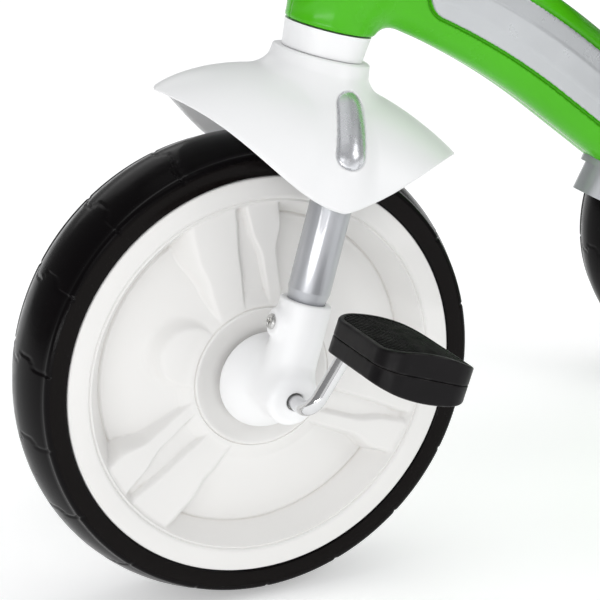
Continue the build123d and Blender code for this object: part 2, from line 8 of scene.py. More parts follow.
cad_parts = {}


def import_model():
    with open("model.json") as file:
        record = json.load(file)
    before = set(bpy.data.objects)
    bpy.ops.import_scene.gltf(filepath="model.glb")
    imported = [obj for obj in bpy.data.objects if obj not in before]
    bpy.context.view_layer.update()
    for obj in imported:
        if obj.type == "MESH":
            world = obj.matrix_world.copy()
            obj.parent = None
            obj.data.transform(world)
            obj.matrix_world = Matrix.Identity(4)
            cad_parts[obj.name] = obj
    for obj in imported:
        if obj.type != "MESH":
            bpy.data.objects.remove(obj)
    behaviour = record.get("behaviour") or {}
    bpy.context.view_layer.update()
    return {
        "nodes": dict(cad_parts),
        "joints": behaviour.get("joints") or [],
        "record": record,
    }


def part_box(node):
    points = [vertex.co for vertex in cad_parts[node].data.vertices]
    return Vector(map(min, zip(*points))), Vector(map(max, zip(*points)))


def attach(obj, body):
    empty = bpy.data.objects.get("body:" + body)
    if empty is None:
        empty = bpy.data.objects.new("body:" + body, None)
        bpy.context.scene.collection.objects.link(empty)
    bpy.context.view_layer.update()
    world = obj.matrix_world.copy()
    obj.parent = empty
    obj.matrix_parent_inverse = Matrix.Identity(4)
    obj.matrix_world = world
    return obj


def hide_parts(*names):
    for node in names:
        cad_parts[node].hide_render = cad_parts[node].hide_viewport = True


# Looks of the children's tricycle. Shapes are worked out in millimetres in the axes of a
# place (wheel, fork, seat, knob, pedal or whole object) and put in the object's frame.

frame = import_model()
MM = 0.001


# --- places taken from the frame ------------------------------------------------------
def centre_of(node):
    """Centre of a CAD node's box, in millimetres."""
    low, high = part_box(node)
    return np.array((low + high) / 2) / MM


def joint_named(name):
    """One joint of the frame."""
    return next(j for j in frame["joints"] if j["name"] == name)


def tilted_place(origin, axis):
    """4x4 place whose local Z is an axis in the centre plane and whose local Y stays across."""
    up = np.array(axis, float) / np.linalg.norm(axis)
    across = np.array([0.0, 1.0, 0.0])
    place = np.eye(4)
    place[:3, 0] = np.cross(across, up)
    place[:3, 1] = across
    place[:3, 2] = up
    place[:3, 3] = origin
    return place


def seen_from(place, p):
    """Points of the object's frame in the axes of a place."""
    back = np.linalg.inv(place)
    return p @ back[:3, :3].T + back[:3, 3]


def radius_of(node):
    """Radius of an upright wheel, from its node's height."""
    low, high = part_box(node)
    return (high.z - low.z) / 2 / MM


UPRIGHT = (0.0, 0.0, 1.0)
FRONT = centre_of("front_tyre")
REAR = centre_of("rear_tyre_left")
TYRE_R = radius_of("front_tyre")
REAR_R = radius_of("rear_tyre_left")
WHEEL = tilted_place(FRONT, UPRIGHT)
FORK = tilted_place(FRONT, joint_named("steering")["axis"])
POST_AXIS = np.array(joint_named("seat_height")["axis"])
KNOB = tilted_place(np.array(joint_named("seat_knob_turn")["pos_m"]) / MM, POST_AXIS)
SEAT_BACK = 22.0    # the pan's middle lies this far behind its bracket
SEAT_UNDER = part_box("seat_pan")[0].z / MM
SEAT = tilted_place(centre_of("seat_bracket") * [1, 1, 0] + [-SEAT_BACK, 0, SEAT_UNDER], UPRIGHT)
OBJECT = np.eye(4)


# --- distance fields --------------------------------------------------------------------
def melt(a, b, blend):
    """Union of two fields with a rounded inside corner."""
    share = np.clip(0.5 + 0.5 * (b - a) / blend, 0.0, 1.0)
    return b + (a - b) * share - blend * share * (1.0 - share)


def meet(a, b, blend):
    """Intersection of two fields with a rounded outside corner."""
    return -melt(-a, -b, blend)


def carve(a, b, blend):
    """The first field with the second cut out."""
    return meet(a, -b, blend)


def rounded(d, e, edge):
    """Corner of two one-way distances, rounded to a radius."""
    d = d + edge
    e = e + edge
    return np.minimum(np.maximum(d, e), 0) + np.hypot(np.maximum(d, 0), np.maximum(e, 0)) - edge


def bar(p, axis, radius, low, high, edge, centre=(0, 0, 0)):
    """A cylinder along one axis with rounded ends."""
    others = [i for i in range(3) if i != axis]
    radial = np.hypot(p[..., others[0]] - centre[others[0]], p[..., others[1]] - centre[others[1]])
    along = np.abs(p[..., axis] - (low + high) / 2) - (high - low) / 2
    return rounded(radial - radius, along, edge)


def block(p, centre, half, edge):
    """A box with rounded edges."""
    away = np.abs(p - np.array(centre, float)) - np.array(half, float) + edge
    outside = np.sqrt((np.maximum(away, 0) ** 2).sum(-1))
    return outside + np.minimum(away.max(-1), 0) - edge


def ball(p, centre, radius):
    """A sphere."""
    return np.sqrt(((p - np.array(centre, float)) ** 2).sum(-1)) - radius


def both_sides(p):
    """Points folded onto the left side of the centre plane."""
    return np.stack([p[..., 0], np.abs(p[..., 1]), p[..., 2]], axis=-1)


def smooth(share):
    """Smooth step from 0 to 1."""
    return share * share * (3 - 2 * share)


def rounded_path(points, radii, steps=8):
    """A polyline whose corners are replaced by arcs, one radius for each."""
    points = [np.array(q, float) for q in points]
    path = [points[0]]
    for before, corner, after, radius in zip(points, points[1:], points[2:], radii):
        a = (before - corner) / np.linalg.norm(before - corner)
        b = (after - corner) / np.linalg.norm(after - corner)
        half = math.acos(np.clip(a @ b, -1, 1)) / 2
        middle = (a + b) / np.linalg.norm(a + b)
        centre = corner + middle * radius / math.sin(half)
        start = corner + a * radius / math.tan(half) - centre
        finish = corner + b * radius / math.tan(half) - centre
        swing = math.pi - 2 * half
        for step in range(steps + 1):
            share = step / steps
            weights = math.sin((1 - share) * swing), math.sin(share * swing)
            path.append(centre + (start * weights[0] + finish * weights[1]) / math.sin(swing))
    path.append(points[-1])
    return np.array(path)


def near_path(p, path):
    """Distance from points to a polyline."""
    best = np.full(p.shape[:-1], 1e9)
    for a, b in zip(path, path[1:]):
        run = b - a
        share = np.clip(((p - a) @ run) / (run @ run), 0, 1)
        best = np.minimum(best, np.sqrt(((p - a - share[..., None] * run) ** 2).sum(-1)))
    return best


# --- meshes -----------------------------------------------------------------------------
def settle(field, points, reach):
    """Slide points along the field's slope until they lie on its zero level."""
    nudge, rounds = 0.02, 3
    for _ in range(rounds):
        value = field(points)
        slope = np.empty_like(points)
        for axis in range(3):
            step = np.zeros(3)
            step[axis] = nudge
            slope[:, axis] = (field(points + step) - field(points - step)) / (2 * nudge)
        size = np.maximum((slope ** 2).sum(-1), 0.1)
        move = -(value / size)[:, None] * slope
        length = np.sqrt((move ** 2).sum(-1))[:, None]
        points = points + move * np.minimum(1, reach / np.maximum(length, 1e-9))
    return points


def near_values(field, grid, step):
    """Values of a field on a grid, worked out finely only where the surface may be near."""
    stride, margin = 4, 1.4
    rough = field(grid[::stride, ::stride, ::stride])
    picks = [np.minimum((np.arange(fine) + stride // 2) // stride, coarse - 1)
             for fine, coarse in zip(grid.shape, rough.shape)]
    values = rough[np.ix_(*picks)]
    near = np.abs(values) < margin * stride * step
    values[near] = field(grid[near])
    return values


def surface_net(field, low, high, step):
    """Mesh the zero level of a field: one vertex in each crossed cell, slid onto the level."""
    low = np.array(low, float)
    counts = np.ceil((np.array(high, float) - low) / step).astype(int) + 1
    axes = [low[i] + step * np.arange(counts[i]) for i in range(3)]
    grid = np.stack(np.meshgrid(*axes, indexing="ij"), axis=-1)
    values = near_values(field, grid, step)
    inside = values < 0
    cells = counts - 1
    total = np.zeros((*cells, 3))
    hits = np.zeros(cells)
    rings = []
    for axis in range(3):
        lower = tuple(slice(0, -1) if i == axis else slice(None) for i in range(3))
        upper = tuple(slice(1, None) if i == axis else slice(None) for i in range(3))
        crossed = inside[lower] != inside[upper]
        where = np.argwhere(crossed)
        first, second = values[lower][crossed], values[upper][crossed]
        points = grid[lower][crossed]
        points[:, axis] += step * first / (first - second)
        one, two = [i for i in range(3) if i != axis]
        ring = []
        for back_one, back_two in ((0, 0), (1, 0), (1, 1), (0, 1)):
            cell = where.copy()
            cell[:, one] -= back_one
            cell[:, two] -= back_two
            ring.append(cell)
        ring = np.stack(ring, axis=1)
        whole = ((ring >= 0) & (ring < cells)).all(axis=(1, 2))
        ring, points = ring[whole], points[whole]
        outward = inside[lower][crossed][whole]
        if axis == 1:
            outward = ~outward
        ring[~outward] = ring[~outward][:, ::-1]
        for corner in range(4):
            place = tuple(ring[:, corner].T)
            np.add.at(total, place, points)
            np.add.at(hits, place, 1)
        rings.append(ring)
    used = hits > 0
    index = np.full(hits.shape, -1)
    index[used] = np.arange(used.sum())
    verts = total[used] / hits[used][:, None]
    rings = np.concatenate(rings)
    faces = index[rings[..., 0], rings[..., 1], rings[..., 2]]
    return settle(field, verts, step), faces


def grid_faces(rows, columns, closed_rows=False):
    """Quads of a grid whose columns close into rings."""
    last = rows if closed_rows else rows - 1
    i, j = np.meshgrid(np.arange(last), np.arange(columns), indexing="ij")
    a, b = i * columns + j, i * columns + (j + 1) % columns
    below = ((i + 1) % rows) * columns
    return np.stack([a, b, below + (j + 1) % columns, below + j], axis=-1).reshape(-1, 4)


def ring_mesh(stations, turns, sink=None):
    """Turn a closed outline of (radius, station) about Y; sink moves a point inwards."""
    stations = np.array(stations, float)
    angle = np.linspace(0, 2 * math.pi, turns, endpoint=False)
    radius = np.repeat(stations[:, :1], turns, axis=1)
    across = np.repeat(stations[:, 1:], turns, axis=1)
    if sink is not None:
        normal = outline_normals(stations)
        depth = sink(np.arange(len(stations))[:, None], angle[None, :])
        radius = radius - normal[:, :1] * depth
        across = across - normal[:, 1:] * depth
    verts = np.stack([radius * np.sin(angle), across, radius * np.cos(angle)], axis=-1)
    return verts.reshape(-1, 3), grid_faces(len(stations), turns, closed_rows=True)


def outline_normals(stations):
    """Outward normals of a closed outline that runs from low to high station outside."""
    run = np.roll(stations, -1, axis=0) - np.roll(stations, 1, axis=0)
    run /= np.maximum(np.linalg.norm(run, axis=1)[:, None], 1e-9)
    return np.stack([run[:, 1], -run[:, 0]], axis=-1)


def mirrored(mesh):
    """The same mesh on the other side of the centre plane."""
    verts, faces = mesh
    return verts * [1, -1, 1], faces[:, ::-1]


def turned_half(mesh):
    """The same mesh turned half round about Z."""
    verts, faces = mesh
    return verts * [-1, -1, 1], faces


BEND_ROUNDS = 3    # times that a vertex's bend is averaged with its neighbours'


def face_turns(verts, faces):
    """Area-weighted normal of each quad."""
    first = verts[faces[:, 2]] - verts[faces[:, 0]]
    second = verts[faces[:, 3]] - verts[faces[:, 1]]
    return np.cross(first, second)


def bend_of(verts, faces):
    """Bend of the surface at each vertex, per mm: above zero outside, below zero in corners."""
    normal = np.zeros_like(verts)
    turns = face_turns(verts, faces)
    for corner in range(4):
        np.add.at(normal, faces[:, corner], turns)
    normal /= np.maximum(np.linalg.norm(normal, axis=1), 1e-9)[:, None]
    ends = np.concatenate([faces[:, [k, (k + 1) % 4]] for k in range(4)])
    run = verts[ends[:, 1]] - verts[ends[:, 0]]
    swing = ((normal[ends[:, 1]] - normal[ends[:, 0]]) * run).sum(1)
    reach = np.bincount(ends.ravel(), np.repeat((run ** 2).sum(1), 2), len(verts))
    bend = np.bincount(ends.ravel(), np.repeat(swing, 2), len(verts)) / np.maximum(reach, 1e-3)
    count = np.maximum(np.bincount(ends.ravel(), minlength=len(verts)), 1)
    for _ in range(BEND_ROUNDS):
        spread = np.repeat(bend[ends].mean(1), 2)
        bend = np.bincount(ends.ravel(), spread, len(verts)) / count
    return bend


def piece(name, mesh, place, material, body, nodes=(), crease=None):
    """Make one object from a mesh in millimetres and tie it to the frame."""
    verts, faces = mesh
    if (verts[faces[:, 0]] * face_turns(verts, faces)).sum() < 0:
        faces = faces[:, ::-1]
    local = np.column_stack([verts, np.ones(len(verts))]) @ place.T
    data = bpy.data.meshes.new(name)
    data.from_pydata((local[:, :3] * MM).tolist(), [], faces.tolist())
    data.attributes.new("bend", "FLOAT", "POINT").data.foreach_set("value", bend_of(verts, faces))
    data.validate()
    data.shade_smooth()
    if crease:
        data.set_sharp_from_angle(angle=math.radians(crease))
    data.materials.append(material)
    made = bpy.data.objects.new(name, data)
    bpy.context.scene.collection.objects.link(made)
    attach(made, body)
    if nodes:
        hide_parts(*nodes)
    return made


# --- materials --------------------------------------------------------------------------
class Graph:
    """Small helper that adds and joins shader nodes."""

    def __init__(self, name):
        self.material = bpy.data.materials.new(name)
        self.material.use_nodes = True
        self.tree = self.material.node_tree
        self.shader = self.tree.nodes["Principled BSDF"]
        self.coordinates = self.add("ShaderNodeTexCoord").outputs

    def add(self, kind, **settings):
        node = self.tree.nodes.new(kind)
        for key, value in settings.items():
            setattr(node, key, value)
        return node

    def link(self, source, target):
        self.tree.links.new(source, target)

    def noise(self, scale, detail=3.0, rough=0.55, stretch=None):
        """Noise in the object's frame, optionally stretched."""
        node = self.add("ShaderNodeTexNoise")
        node.inputs["Scale"].default_value = scale
        node.inputs["Detail"].default_value = detail
        node.inputs["Roughness"].default_value = rough
        source = self.coordinates["Object"]
        if stretch:
            mapping = self.add("ShaderNodeMapping")
            mapping.inputs["Scale"].default_value = stretch
            self.link(source, mapping.inputs["Vector"])
            source = mapping.outputs["Vector"]
        self.link(source, node.inputs["Vector"])
        return node.outputs["Fac"]

    def span(self, source, low, high, to_low, to_high):
        """Map one range of a value to another."""
        node = self.add("ShaderNodeMapRange")
        ends = {"From Min": low, "From Max": high, "To Min": to_low, "To Max": to_high}
        for key, value in ends.items():
            node.inputs[key].default_value = value
        self.link(source, node.inputs["Value"])
        return node.outputs["Result"]

    def mix(self, share, first, second):
        """Mix two colours, given as sockets or as tuples."""
        node = self.add("ShaderNodeMix", data_type="RGBA")
        self.link(share, node.inputs["Factor"])
        for value, key in ((first, "A"), (second, "B")):
            socket = [s for s in node.inputs if s.name == key and s.type == "RGBA"][0]
            if isinstance(value, tuple):
                socket.default_value = (*value, 1.0)
            else:
                self.link(value, socket)
        return [s for s in node.outputs if s.type == "RGBA"][0]

    def sideways(self):
        """How squarely the surface faces left or right, from 0 to 1."""
        normal = self.add("ShaderNodeSeparateXYZ")
        self.link(self.coordinates["Normal"], normal.inputs[0])
        size = self.add("ShaderNodeMath", operation="ABSOLUTE")
        self.link(normal.outputs["Y"], size.inputs[0])
        return size.outputs[0]

    def times(self, first, second):
        """Multiply two values."""
        node = self.add("ShaderNodeMath", operation="MULTIPLY")
        self.link(first, node.inputs[0])
        self.link(second, node.inputs[1])
        return node.outputs[0]


def scaled(colour, factor):
    """A colour made lighter or darker."""
    return tuple(min(c * factor, 1.0) for c in colour)


def finish_material(name, colour, rough, *, mottle=0.03, patch=16.0, spread=0.06, grain=900.0,
                    grain_depth=0.00003, wear_and_sheen=0.0, worn_and_sheen=(0.5, 0.5, 0.5), corner_shade=0.0,
                    corner_shade_colour=(0.4, 0.36, 0.3), metallic=0.0, coat=0.0, specular=0.5,
                    stretch=None, coat_rough=0.12, sidewall=None):
    """A moulded or metal finish.

    Its colour is mottled, its gloss uneven and its grain fine. By the bend attribute, outer edges
    are lightened, partly as rubbed edges and partly as a painted sheen, and hollow corners are
    darkened as painted shade. A tyre's flat sidewall is painted lighter than its tread, as painted
    light.
    """
    g = Graph(name)
    tone = g.span(g.noise(patch, 4.0), 0.3, 0.7, 0, 1)
    base = g.mix(tone, scaled(colour, 1 - mottle), scaled(colour, 1 + mottle))
    bend = g.add("ShaderNodeAttribute", attribute_name="bend").outputs["Fac"]
    # Painted shade: hollow corners, seams and grooves are darkened towards a brownish or black
    # tone, where shade falls.
    if corner_shade:
        corner = g.span(bend, -0.1, -0.4, 0, corner_shade)
        base = g.mix(g.times(corner, g.span(g.noise(55.0, 5.0), 0.3, 0.6, 0.4, 1)), base, corner_shade_colour)
    # Outer edges and rib crests are lightened: partly rubbed edges, partly a painted sheen where
    # light catches them.
    if wear_and_sheen:
        edge = g.span(bend, 0.2, 0.55, 0, wear_and_sheen)
        base = g.mix(g.times(edge, g.span(g.noise(160.0, 6.0), 0.42, 0.62, 0, 1)), base, worn_and_sheen)
    # Painted light: surfaces facing squarely sideways get a lighter tone than the glossy tread,
    # standing in for the tread's darker reflections.
    if sidewall:
        base = g.mix(g.span(g.sideways(), 0.93, 0.985, 0, 1), base, sidewall)
    g.link(base, g.shader.inputs["Base Color"])
    uneven = g.noise(patch * 3, 5.0, 0.6, stretch)
    g.link(g.span(uneven, 0.3, 0.7, rough - spread, rough + spread), g.shader.inputs["Roughness"])
    fine = g.noise(grain, 3.0, 0.6, stretch)
    bump = g.add("ShaderNodeBump")
    bump.inputs["Strength"].default_value = 0.5
    bump.inputs["Distance"].default_value = grain_depth
    g.link(fine, bump.inputs["Height"])
    g.link(bump.outputs["Normal"], g.shader.inputs["Normal"])
    g.shader.inputs["Metallic"].default_value = metallic
    g.shader.inputs["Specular IOR Level"].default_value = specular
    g.shader.inputs["Coat Weight"].default_value = coat
    g.shader.inputs["Coat Roughness"].default_value = coat_rough
    return g.material


FINISHES = {
    # Sidewall tone lighter than the tread is painted light; lightened shoulder edges are partly
    # painted sheen, partly rubbed edges.
    "tyre": dict(
        name="tyre_rubber", colour=(0.0020, 0.0014, 0.0018), rough=0.22, mottle=0.25, patch=40,
        spread=0.06, grain=700, grain_depth=0.00006, wear_and_sheen=0.2, worn_and_sheen=(0.02, 0.019, 0.018),
        specular=0.09, sidewall=(0.0040, 0.0029, 0.0027)),
    # Corners and seams are darkened brownish as painted shade.
    "rim_white": dict(
        name="rim_white", colour=(0.79, 0.78, 0.765), rough=0.36, mottle=0.008, spread=0.06,
        grain=900, grain_depth=0.00002, corner_shade=0.5, corner_shade_colour=(0.46, 0.40, 0.34), specular=0.35),
    # Hollows and seams are darkened a little as painted shade.
    "shell_white": dict(
        name="shell_white", colour=(0.885, 0.885, 0.89), rough=0.32, mottle=0.007, spread=0.04,
        grain=900, grain_depth=0.00001, corner_shade=0.25, corner_shade_colour=(0.55, 0.51, 0.48), specular=0.45),
    "frame_green": dict(
        name="frame_green", colour=(0.070, 0.47, 0.004), rough=0.24, mottle=0.05, patch=10,
        spread=0.05, grain=900, grain_depth=0.00001, wear_and_sheen=0.15, worn_and_sheen=(0.2, 0.62, 0.12),
        specular=0.3),
    "panel_silver": dict(
        name="panel_silver", colour=(0.54, 0.555, 0.57), rough=0.32, mottle=0.03, patch=20,
        spread=0.06, grain=1500, grain_depth=0.000005, metallic=0.35, wear_and_sheen=0.2,
        worn_and_sheen=(0.7, 0.71, 0.72)),
    "inlay_silver": dict(
        name="inlay_silver", colour=(0.72, 0.73, 0.76), rough=0.27, mottle=0.03, patch=40,
        spread=0.05, grain=1500, grain_depth=0.000005, metallic=0.75, wear_and_sheen=0.2,
        worn_and_sheen=(0.7, 0.71, 0.72)),
    "tube_silver": dict(
        name="tube_silver", colour=(0.47, 0.48, 0.505), rough=0.40, mottle=0.05, patch=30,
        spread=0.05, grain=1800, grain_depth=0.00002, metallic=0.65, wear_and_sheen=0.2,
        worn_and_sheen=(0.55, 0.55, 0.56), stretch=(1, 1, 0.2), coat=0.7, coat_rough=0.05),
    "chrome": dict(
        name="bright_plate", colour=(0.72, 0.72, 0.73), rough=0.10, mottle=0.03, patch=60,
        spread=0.04, grain=900, grain_depth=0.00001, metallic=1.0),
    # Cross recesses and hollows are darkened as painted shade.
    "steel": dict(
        name="zinc_plate", colour=(0.62, 0.62, 0.61), rough=0.28, mottle=0.08, patch=120,
        spread=0.1, grain=1600, grain_depth=0.00003, metallic=1.0, corner_shade=0.3),
    # Rib crests are lightened as a painted sheen and grooves darkened near black as painted shade,
    # so the fine ribs show.
    "pedal_black": dict(
        name="pedal_black", colour=(0.0046, 0.0038, 0.0045), rough=0.38, mottle=0.2, patch=60,
        spread=0.08, grain=1200, grain_depth=0.00005, wear_and_sheen=0.6, worn_and_sheen=(0.045, 0.043, 0.042),
        corner_shade=0.9, corner_shade_colour=(0.001, 0.001, 0.001), specular=0.15),
    "seat_black": dict(
        name="seat_black", colour=(0.016, 0.016, 0.0175), rough=0.40, mottle=0.15, patch=30,
        spread=0.07, grain=900, grain_depth=0.00009, wear_and_sheen=0.2, worn_and_sheen=(0.06, 0.06, 0.062),
        specular=0.42),
    "knob_black": dict(
        name="knob_black", colour=(0.02, 0.02, 0.021), rough=0.36, mottle=0.15, patch=60,
        spread=0.06, grain=1200, grain_depth=0.00006, wear_and_sheen=0.25, worn_and_sheen=(0.08, 0.08, 0.08)),
    "grip_rubber": dict(
        name="grip_rubber", colour=(0.017, 0.0165, 0.017), rough=0.55, mottle=0.2, patch=50,
        spread=0.08, grain=1300, grain_depth=0.0001, wear_and_sheen=0.2, worn_and_sheen=(0.05, 0.05, 0.05),
        specular=0.35),
    "bush_grey": dict(
        name="natural_nylon", colour=(0.62, 0.61, 0.58), rough=0.4, mottle=0.03, patch=60,
        spread=0.05, grain=900),
}


# --- wheels -----------------------------------------------------------------------------
def arc_points(start, middle, end, steps):
    """Points of the quadratic that passes through three points."""
    start, middle, end = (np.array(q, float) for q in (start, middle, end))
    share = np.linspace(0, 1, steps + 1)[1:, None]
    control = 2 * middle - (start + end) / 2
    return list((1 - share) ** 2 * start + 2 * share * (1 - share) * control + share ** 2 * end)


GROOVE_DEPTH = 0.45
GROOVE_WIDTH = 0.9
GROOVE_JOG = 5.0    # length round the tyre that a groove steps over, each side of the crown


def tyre_outline(radius, half, lip):
    """Closed section of a tyre as (radius, station): bead, flat sidewall, shoulder, crown."""
    seat_r = lip - 4.9
    seat_half = half - 4.2
    tread_half = half * 0.83
    tread_edge = radius - 0.22 * (radius - lip) - tread_half * 0.09
    wall_top = lip + (radius - lip) * 0.45
    knee = ((wall_top + tread_edge) / 2 + 1.2, (half + tread_half) / 2 + 1.0)
    side = [(seat_r, 0.5), (seat_r, seat_half), (lip + 0.3, seat_half), (lip + 0.3, half - 0.7),
            (lip + 0.5, half - 0.2), (lip + 1.0, half), (wall_top - 3, half), (wall_top, half)]
    side += arc_points((wall_top, half), knee, (tread_edge, tread_half), 7)
    crown_mid = (radius - (radius - tread_edge) * 0.27, tread_half / 2)
    side += arc_points((tread_edge, tread_half), crown_mid, (radius, 0), 12)
    side = [tuple(map(float, q)) for q in side]
    other = [(r, -y) for r, y in side[-2::-1]]
    return side + other


def tyre(radius, half, lip, grooves):
    """A tyre with shallow zigzag grooves across its tread."""
    outline = np.array(tyre_outline(radius, half, lip))[::-1]
    pitch = 2 * math.pi / grooves
    quads_per_pitch = 60

    def sink(row, angle):
        r, y = outline[row, 0], outline[row, 1]
        step = smooth(np.clip((np.abs(y) - half * 0.40) / (half * 0.2), 0, 1))
        offset = np.sign(y) * GROOVE_JOG * (step - 0.5)
        away = (angle - offset / radius + pitch / 2) % pitch - pitch / 2
        cut = smooth(np.clip((GROOVE_WIDTH - np.abs(away) * radius) / 1.1 + 0.5, 0, 1))
        fade = np.clip((r - (lip + (radius - lip) * 0.50)) / 1.6, 0, 1)
        return GROOVE_DEPTH * cut * fade

    return ring_mesh(outline, grooves * quads_per_pitch, sink)


def rim_profile(lip, half, disc_r, disc_y, hub, core):
    """Outer face of a rim half as (radius, station): hub, ring, seam, dish, wall, band."""
    band = lip - 12.4
    return [
        (core, half - 4.9), (core + 0.4, half - 4.5), (hub - 9, half - 4.4), (hub - 5, half - 3.4),
        (hub - 2.0, half - 2.1), (hub - 0.6, half - 1.5), (hub + 0.3, half - 1.3),
        (hub + 0.6, half - 1.5), (hub + 0.9, half - 2.3), (hub + 1.2, half - 2.4),
        (hub + 1.6, half - 1.9), (hub + 2.2, half - 1.9), (hub + 5.0, half - 3.2),
        (hub + 10.0, half - 5.6), (disc_r - 3, disc_y + 0.5),
        (disc_r - 0.9, disc_y + 0.1), (disc_r - 0.5, disc_y - 0.5), (disc_r + 0.3, disc_y - 0.8),
        (disc_r + 1.0, disc_y + 0.4), (band - 1.9, half - 2.4),
        (band - 1.0, half - 1.1), (band - 0.4, half - 1.3), (band + 0.1, half - 1.5),
        (band + 0.5, half - 0.7), (band + 1.3, half - 0.1), (band + 2.2, half), (lip - 1.3, half),
        (lip - 0.5, half - 0.3), (lip - 0.1, half - 1.1), (lip, half - 3.0)]


def rib_edges(share, size):
    """Edges of a spoke's two ribs, across it: front outer, front inner, rear inner, rear outer."""
    front_outer = eased(share, [0, 0.33, 0.66, 0.87, 1], [17.7, 20.4, 24.5, 25.4, 25.0])
    front_inner = eased(share, [0, 0.5, 1], [3.2, 1.6, -0.6])
    rear_inner = eased(share, [0, 0.48, 0.78, 1], [11.1, 10.8, 7.0, 5.8])
    rear_outer = eased(share, [0, 0.25, 0.5, 0.78, 1], [17.7, 18.6, 19.0, 24.0, 24.4])
    return [edge * size for edge in (front_outer, front_inner, rear_inner, rear_outer)]


def eased(share, stations, values):
    """Values at stations joined by smooth steps."""
    result = np.full_like(share, values[0])
    for low, high, start, end in zip(stations, stations[1:], values, values[1:]):
        part = np.clip((share - low) / (high - low), 0, 1)
        result = result + (end - start) * smooth(part)
    return result


RIB_TOP = 0.75
TROUGH = -3.6    # height of the floor between a spoke's ribs, from their tops


def spoke_height(u, v, inner, outer, size, top):
    """Height of a spoke with two unequal ribs at a place along and across it."""
    share = np.clip((u - inner) / (outer - inner), 0, 1)
    front_outer, front_inner, rear_inner, rear_outer = rib_edges(share, size)
    front_flank = (front_outer - v) * 1.6
    rear_flank = (rear_outer + v) * 3.2
    front = melt(front_flank, (v - front_inner) * 3.0, 2.0)
    rear = melt(rear_flank, (-v - rear_inner) * 3.0, 2.0)
    trough = melt(melt(np.full_like(v, TROUGH), front_flank, 1.0), rear_flank, 1.0)
    crest = melt(np.maximum(np.maximum(front, rear), trough), np.zeros_like(v), 3.0)
    return top + RIB_TOP + np.maximum(crest, -30.0)


def rim(lip, half, disc_r, disc_y, hub, core, spokes, spoke_size, boss, turns):
    """A rim half: face with spokes and boss in front, plain wall behind."""
    profile = np.array(rim_profile(lip, half, disc_r, disc_y, hub, core))
    fill = np.arange(hub + 4, lip - 12, (lip - hub) / 68)
    radius = np.unique(np.round(np.concatenate([profile[:, 0], fill]), 3))
    angle = np.linspace(0, 2 * math.pi, turns, endpoint=False)
    r, a = np.meshgrid(radius, angle, indexing="ij")
    base = np.interp(r, profile[:, 0], profile[:, 1])
    height = base.copy()
    top = half - 3.2
    for centre in spokes:
        swing = a - math.radians(centre)
        u, v = r * np.cos(swing), r * np.sin(swing)
        rib = spoke_height(u, v, hub - 3.0, lip - 14, spoke_size, top)
        height = np.where(u > 0, -melt(-height, -rib, 1.6), height)
    if boss:
        at_r, at_angle, size, rise = boss
        swing = a - math.radians(at_angle)
        away = np.hypot(r * np.cos(swing) - at_r, r * np.sin(swing))
        dome = rise - 0.004 * away ** 2 - np.maximum(away - size, 0) * 1.1
        dome = melt(dome, rise + (size - away) * 1.3, 3.0)
        height = -melt(-height, -dome, 2.5)
    height = np.where(r < hub + 1.4, base, height)
    height = np.where(r > lip - 12.9, np.minimum(height, base), height)
    front = np.stack([r * np.sin(a), height, r * np.cos(a)], axis=-1).reshape(-1, 3)
    wall = 2.6
    back_profile = [
        (lip, half - 4.0), (lip - 5.0, half - 4.0), (lip - 5.0, 0.1), (lip - 5.0 - wall, 0.1),
        (lip - 5.0 - wall, half - wall - 1), (lip - 12.4, half - wall - 1.4),
        (disc_r, disc_y - wall), (hub, half - 4.5 - wall), (core + 4, half - 5 - wall),
        (core + 4, 0.1), (core, 0.1)]
    back = [[(q * math.sin(t), y, q * math.cos(t)) for t in angle] for q, y in back_profile]
    verts = np.concatenate([front, np.array(back).reshape(-1, 3)])
    rows = len(radius) + len(back_profile)
    return verts, grid_faces(rows, turns, closed_rows=True)


def front_wheel(finish):
    """Tyre and the two rim halves of the front wheel."""
    lip, half = 109.0, 26.5
    rubber = tyre(TYRE_R, half, lip, grooves=18)
    piece("tyre_front", rubber, WHEEL, finish["tyre"], "front_wheel", ["front_tyre"],
          crease=60)
    mesh = rim(lip, half, disc_r=86.0, disc_y=10.5, hub=37.0, core=13.0,
               spokes=(8.6, 128.6, -111.4), spoke_size=1.0, boss=(43.0, 68.0, 16.0, 24.6),
               turns=720)
    for name, shape in (("left", mesh), ("right", turned_half(mesh))):
        piece(f"rim_front_{name}", shape, WHEEL, finish["rim_white"], "front_wheel",
              [f"front_rim_{name}"], crease=50)


def rear_wheels(finish):
    """Tyres and rim halves of the rear wheels."""
    lip, half = 84.0, 19.5
    rubber = tyre(REAR_R, half, lip, grooves=15)
    face = rim(lip, half, disc_r=62.0, disc_y=8.0, hub=25.0, core=11.0,
               spokes=(20, 140, 260), spoke_size=0.68, boss=None, turns=480)
    for name, side in (("left", 1), ("right", -1)):
        place = tilted_place(REAR * [1, side, 1], UPRIGHT)
        body = f"rear_wheel_{name}"
        piece(f"tyre_rear_{name}", rubber, place, finish["tyre"], body,
              [f"rear_tyre_{name}"], crease=60)
        outer, inner = (face, turned_half(face)) if side > 0 else (turned_half(face), face)
        piece(f"rim_outer_{name}", outer, place, finish["rim_white"], body,
              [f"rear_rim_outer_{name}"], crease=50)
        piece(f"rim_inner_{name}", inner, place, finish["rim_white"], body,
              [f"rear_rim_inner_{name}"], crease=50)


# --- fork -------------------------------------------------------------------------------
LEG_Y = 51.0       # distance of a leg from the centre plane
SCREW_S = 36.5     # height of the screw on the fork's axis, above the axle


